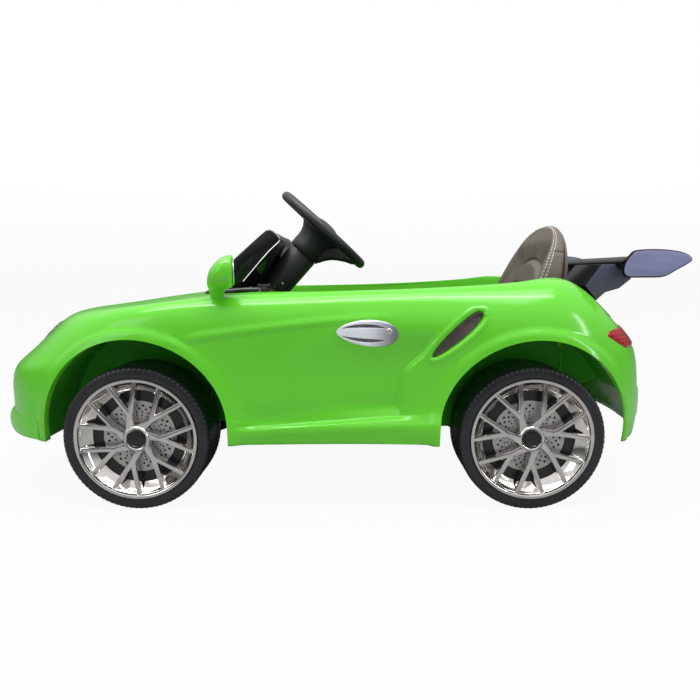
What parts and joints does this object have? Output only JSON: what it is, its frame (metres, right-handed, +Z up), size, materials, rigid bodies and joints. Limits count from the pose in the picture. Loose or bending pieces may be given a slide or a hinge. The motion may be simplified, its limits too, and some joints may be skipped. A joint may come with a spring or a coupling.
{
  "type": "electric ride-on car",
  "caption": "Child's electric ride-on car: moulded open green body, padded seat, steering wheel linked to the front wheels, chrome spoked wheel covers, mirrors and a rear wing.",
  "frame": {"origin": "on the ground under the middle of the car's overall box", "axes": "+X toward the tail, nose toward -X, +Y toward the driver's right side, +Z up"},
  "size_m": [1.17, 0.562, 0.5274],
  "materials": {
    "green_body": "glossy moulded lime green",
    "clear_lens": "clear glossy lens",
    "red_lens": "glossy red lens",
    "silver_trim": "printed silver",
    "vent_mesh": "dark printed mesh",
    "mirror_glass": "mirror foil",
    "black_matte": "fine grained black",
    "black_gloss": "glossy black",
    "red_button": "glossy red",
    "steel": "zinc plated",
    "leatherette": "dark taupe grained leatherette",
    "wheel_black": "satin black hard plastic",
    "chrome_cover": "bright chrome plated plastic",
    "disc_silver": "printed silver"
  },
  "bodies": {
    "chassis": {"body_shell": "green_body", "front_lip": "green_body", "rear_bumper_panel": "green_body", "mirror_housing_left": "green_body", "mirror_housing_right": "green_body", "headlight_left": "clear_lens", "headlight_right": "clear_lens", "tail_light_left": "red_lens", "tail_light_right": "red_lens", "door_handle_left": "silver_trim", "door_handle_right": "silver_trim", "side_vent_left": "vent_mesh", "side_vent_right": "vent_mesh", "mirror_glass_left": "mirror_glass", "mirror_glass_right": "mirror_glass", "floor_tray": "black_matte", "drive_unit_left": "black_matte", "drive_unit_right": "black_matte", "battery": "black_matte", "control_box": "black_matte", "column_housing": "black_matte", "seat_base": "black_matte", "seat_back_shell": "black_matte", "pedal_base": "black_matte", "charge_socket": "black_matte", "dashboard": "black_gloss", "spoiler_base": "black_gloss", "spoiler_wing": "black_gloss", "front_axle_bracket": "steel", "rear_axle": "steel", "rear_axle_nuts": "steel", "seat_cushion": "leatherette", "backrest_cushion": "leatherette"},
    "steering": {"steering_shaft": "steel", "steering_wheel": "black_matte"},
    "horn": {"horn_pad": "black_matte"},
    "tie_rod": {"tie_rod": "steel"},
    "knuckle_left": {"knuckle_left": "steel", "axle_nut_front_left": "steel"},
    "knuckle_right": {"knuckle_right": "steel", "axle_nut_front_right": "steel"},
    "pedal": {"accelerator_pedal": "black_matte"},
    "power_button": {"power_button": "red_button"},
    "direction_switch": {"direction_switch": "black_matte"},
    "wheel_front_left": {"wheel_front_left": "wheel_black", "hubcap_front_left": "chrome_cover", "brake_disc_front_left": "disc_silver", "centre_cap_front_left": "black_gloss"},
    "wheel_front_right": {"wheel_front_right": "wheel_black", "hubcap_front_right": "chrome_cover", "brake_disc_front_right": "disc_silver", "centre_cap_front_right": "black_gloss"},
    "wheel_rear_left": {"wheel_rear_left": "wheel_black", "hubcap_rear_left": "chrome_cover", "brake_disc_rear_left": "disc_silver", "centre_cap_rear_left": "black_gloss"},
    "wheel_rear_right": {"wheel_rear_right": "wheel_black", "hubcap_rear_right": "chrome_cover", "brake_disc_rear_right": "disc_silver", "centre_cap_rear_right": "black_gloss"}
  },
  "joints": [
    {"name": "steering_turn", "type": "hinge", "parent": "chassis", "child": "steering", "pos_m": [-0.0106, 0, 0.454], "axis": [0.6691, 0, 0.7431], "range_deg": [-36, 36]},
    {"name": "horn_press", "type": "slide", "parent": "steering", "child": "horn", "axis": [0.6691, 0, 0.7431], "range_m": [-0.0025, 0], "stiffness_N_per_m": 500, "springref_m": 0.001},
    {"name": "tie_rod_slide", "type": "slide", "parent": "chassis", "child": "tie_rod", "axis": [0, 1, 0], "range_m": [-0.0185, 0.0185]},
    {"name": "knuckle_left_turn", "type": "hinge", "parent": "chassis", "child": "knuckle_left", "pos_m": [-0.295, -0.165, 0.115], "axis": [0, 0, 1], "range_deg": [-22, 22]},
    {"name": "knuckle_right_turn", "type": "hinge", "parent": "chassis", "child": "knuckle_right", "pos_m": [-0.295, 0.165, 0.115], "axis": [0, 0, 1], "range_deg": [-22, 22]},
    {"name": "wheel_front_left_spin", "type": "hinge", "parent": "knuckle_left", "child": "wheel_front_left", "pos_m": [-0.295, -0.215, 0.115], "axis": [0, 1, 0], "continuous": true},
    {"name": "wheel_front_right_spin", "type": "hinge", "parent": "knuckle_right", "child": "wheel_front_right", "pos_m": [-0.295, 0.215, 0.115], "axis": [0, 1, 0], "continuous": true},
    {"name": "wheel_rear_left_spin", "type": "hinge", "parent": "chassis", "child": "wheel_rear_left", "pos_m": [0.325, -0.215, 0.115], "axis": [0, 1, 0], "continuous": true},
    {"name": "wheel_rear_right_spin", "type": "hinge", "parent": "chassis", "child": "wheel_rear_right", "pos_m": [0.325, 0.215, 0.115], "axis": [0, 1, 0], "continuous": true},
    {"name": "pedal_press", "type": "hinge", "parent": "chassis", "child": "pedal", "pos_m": [-0.112, 0.064, 0.116], "axis": [0, 1, 0], "range_deg": [-12, 0], "stiffness_Nm_per_rad": 0.5, "springref_deg": 6.88},
    {"name": "power_press", "type": "slide", "parent": "chassis", "child": "power_button", "axis": [0, 0, 1], "range_m": [-0.0025, 0], "stiffness_N_per_m": 500, "springref_m": 0.001},
    {"name": "direction_rock", "type": "hinge", "parent": "chassis", "child": "direction_switch", "pos_m": [-0.112, -0.108, 0.35], "axis": [0, 1, 0], "range_deg": [-10, 10]}
  ],
  "couplings": [
    {"joint": "knuckle_left_turn", "follows": "steering_turn", "ratio": 0.61},
    {"joint": "knuckle_right_turn", "follows": "steering_turn", "ratio": 0.61},
    {"joint": "tie_rod_slide", "follows": "steering_turn", "m_per_rad": 0.0287}
  ]
}
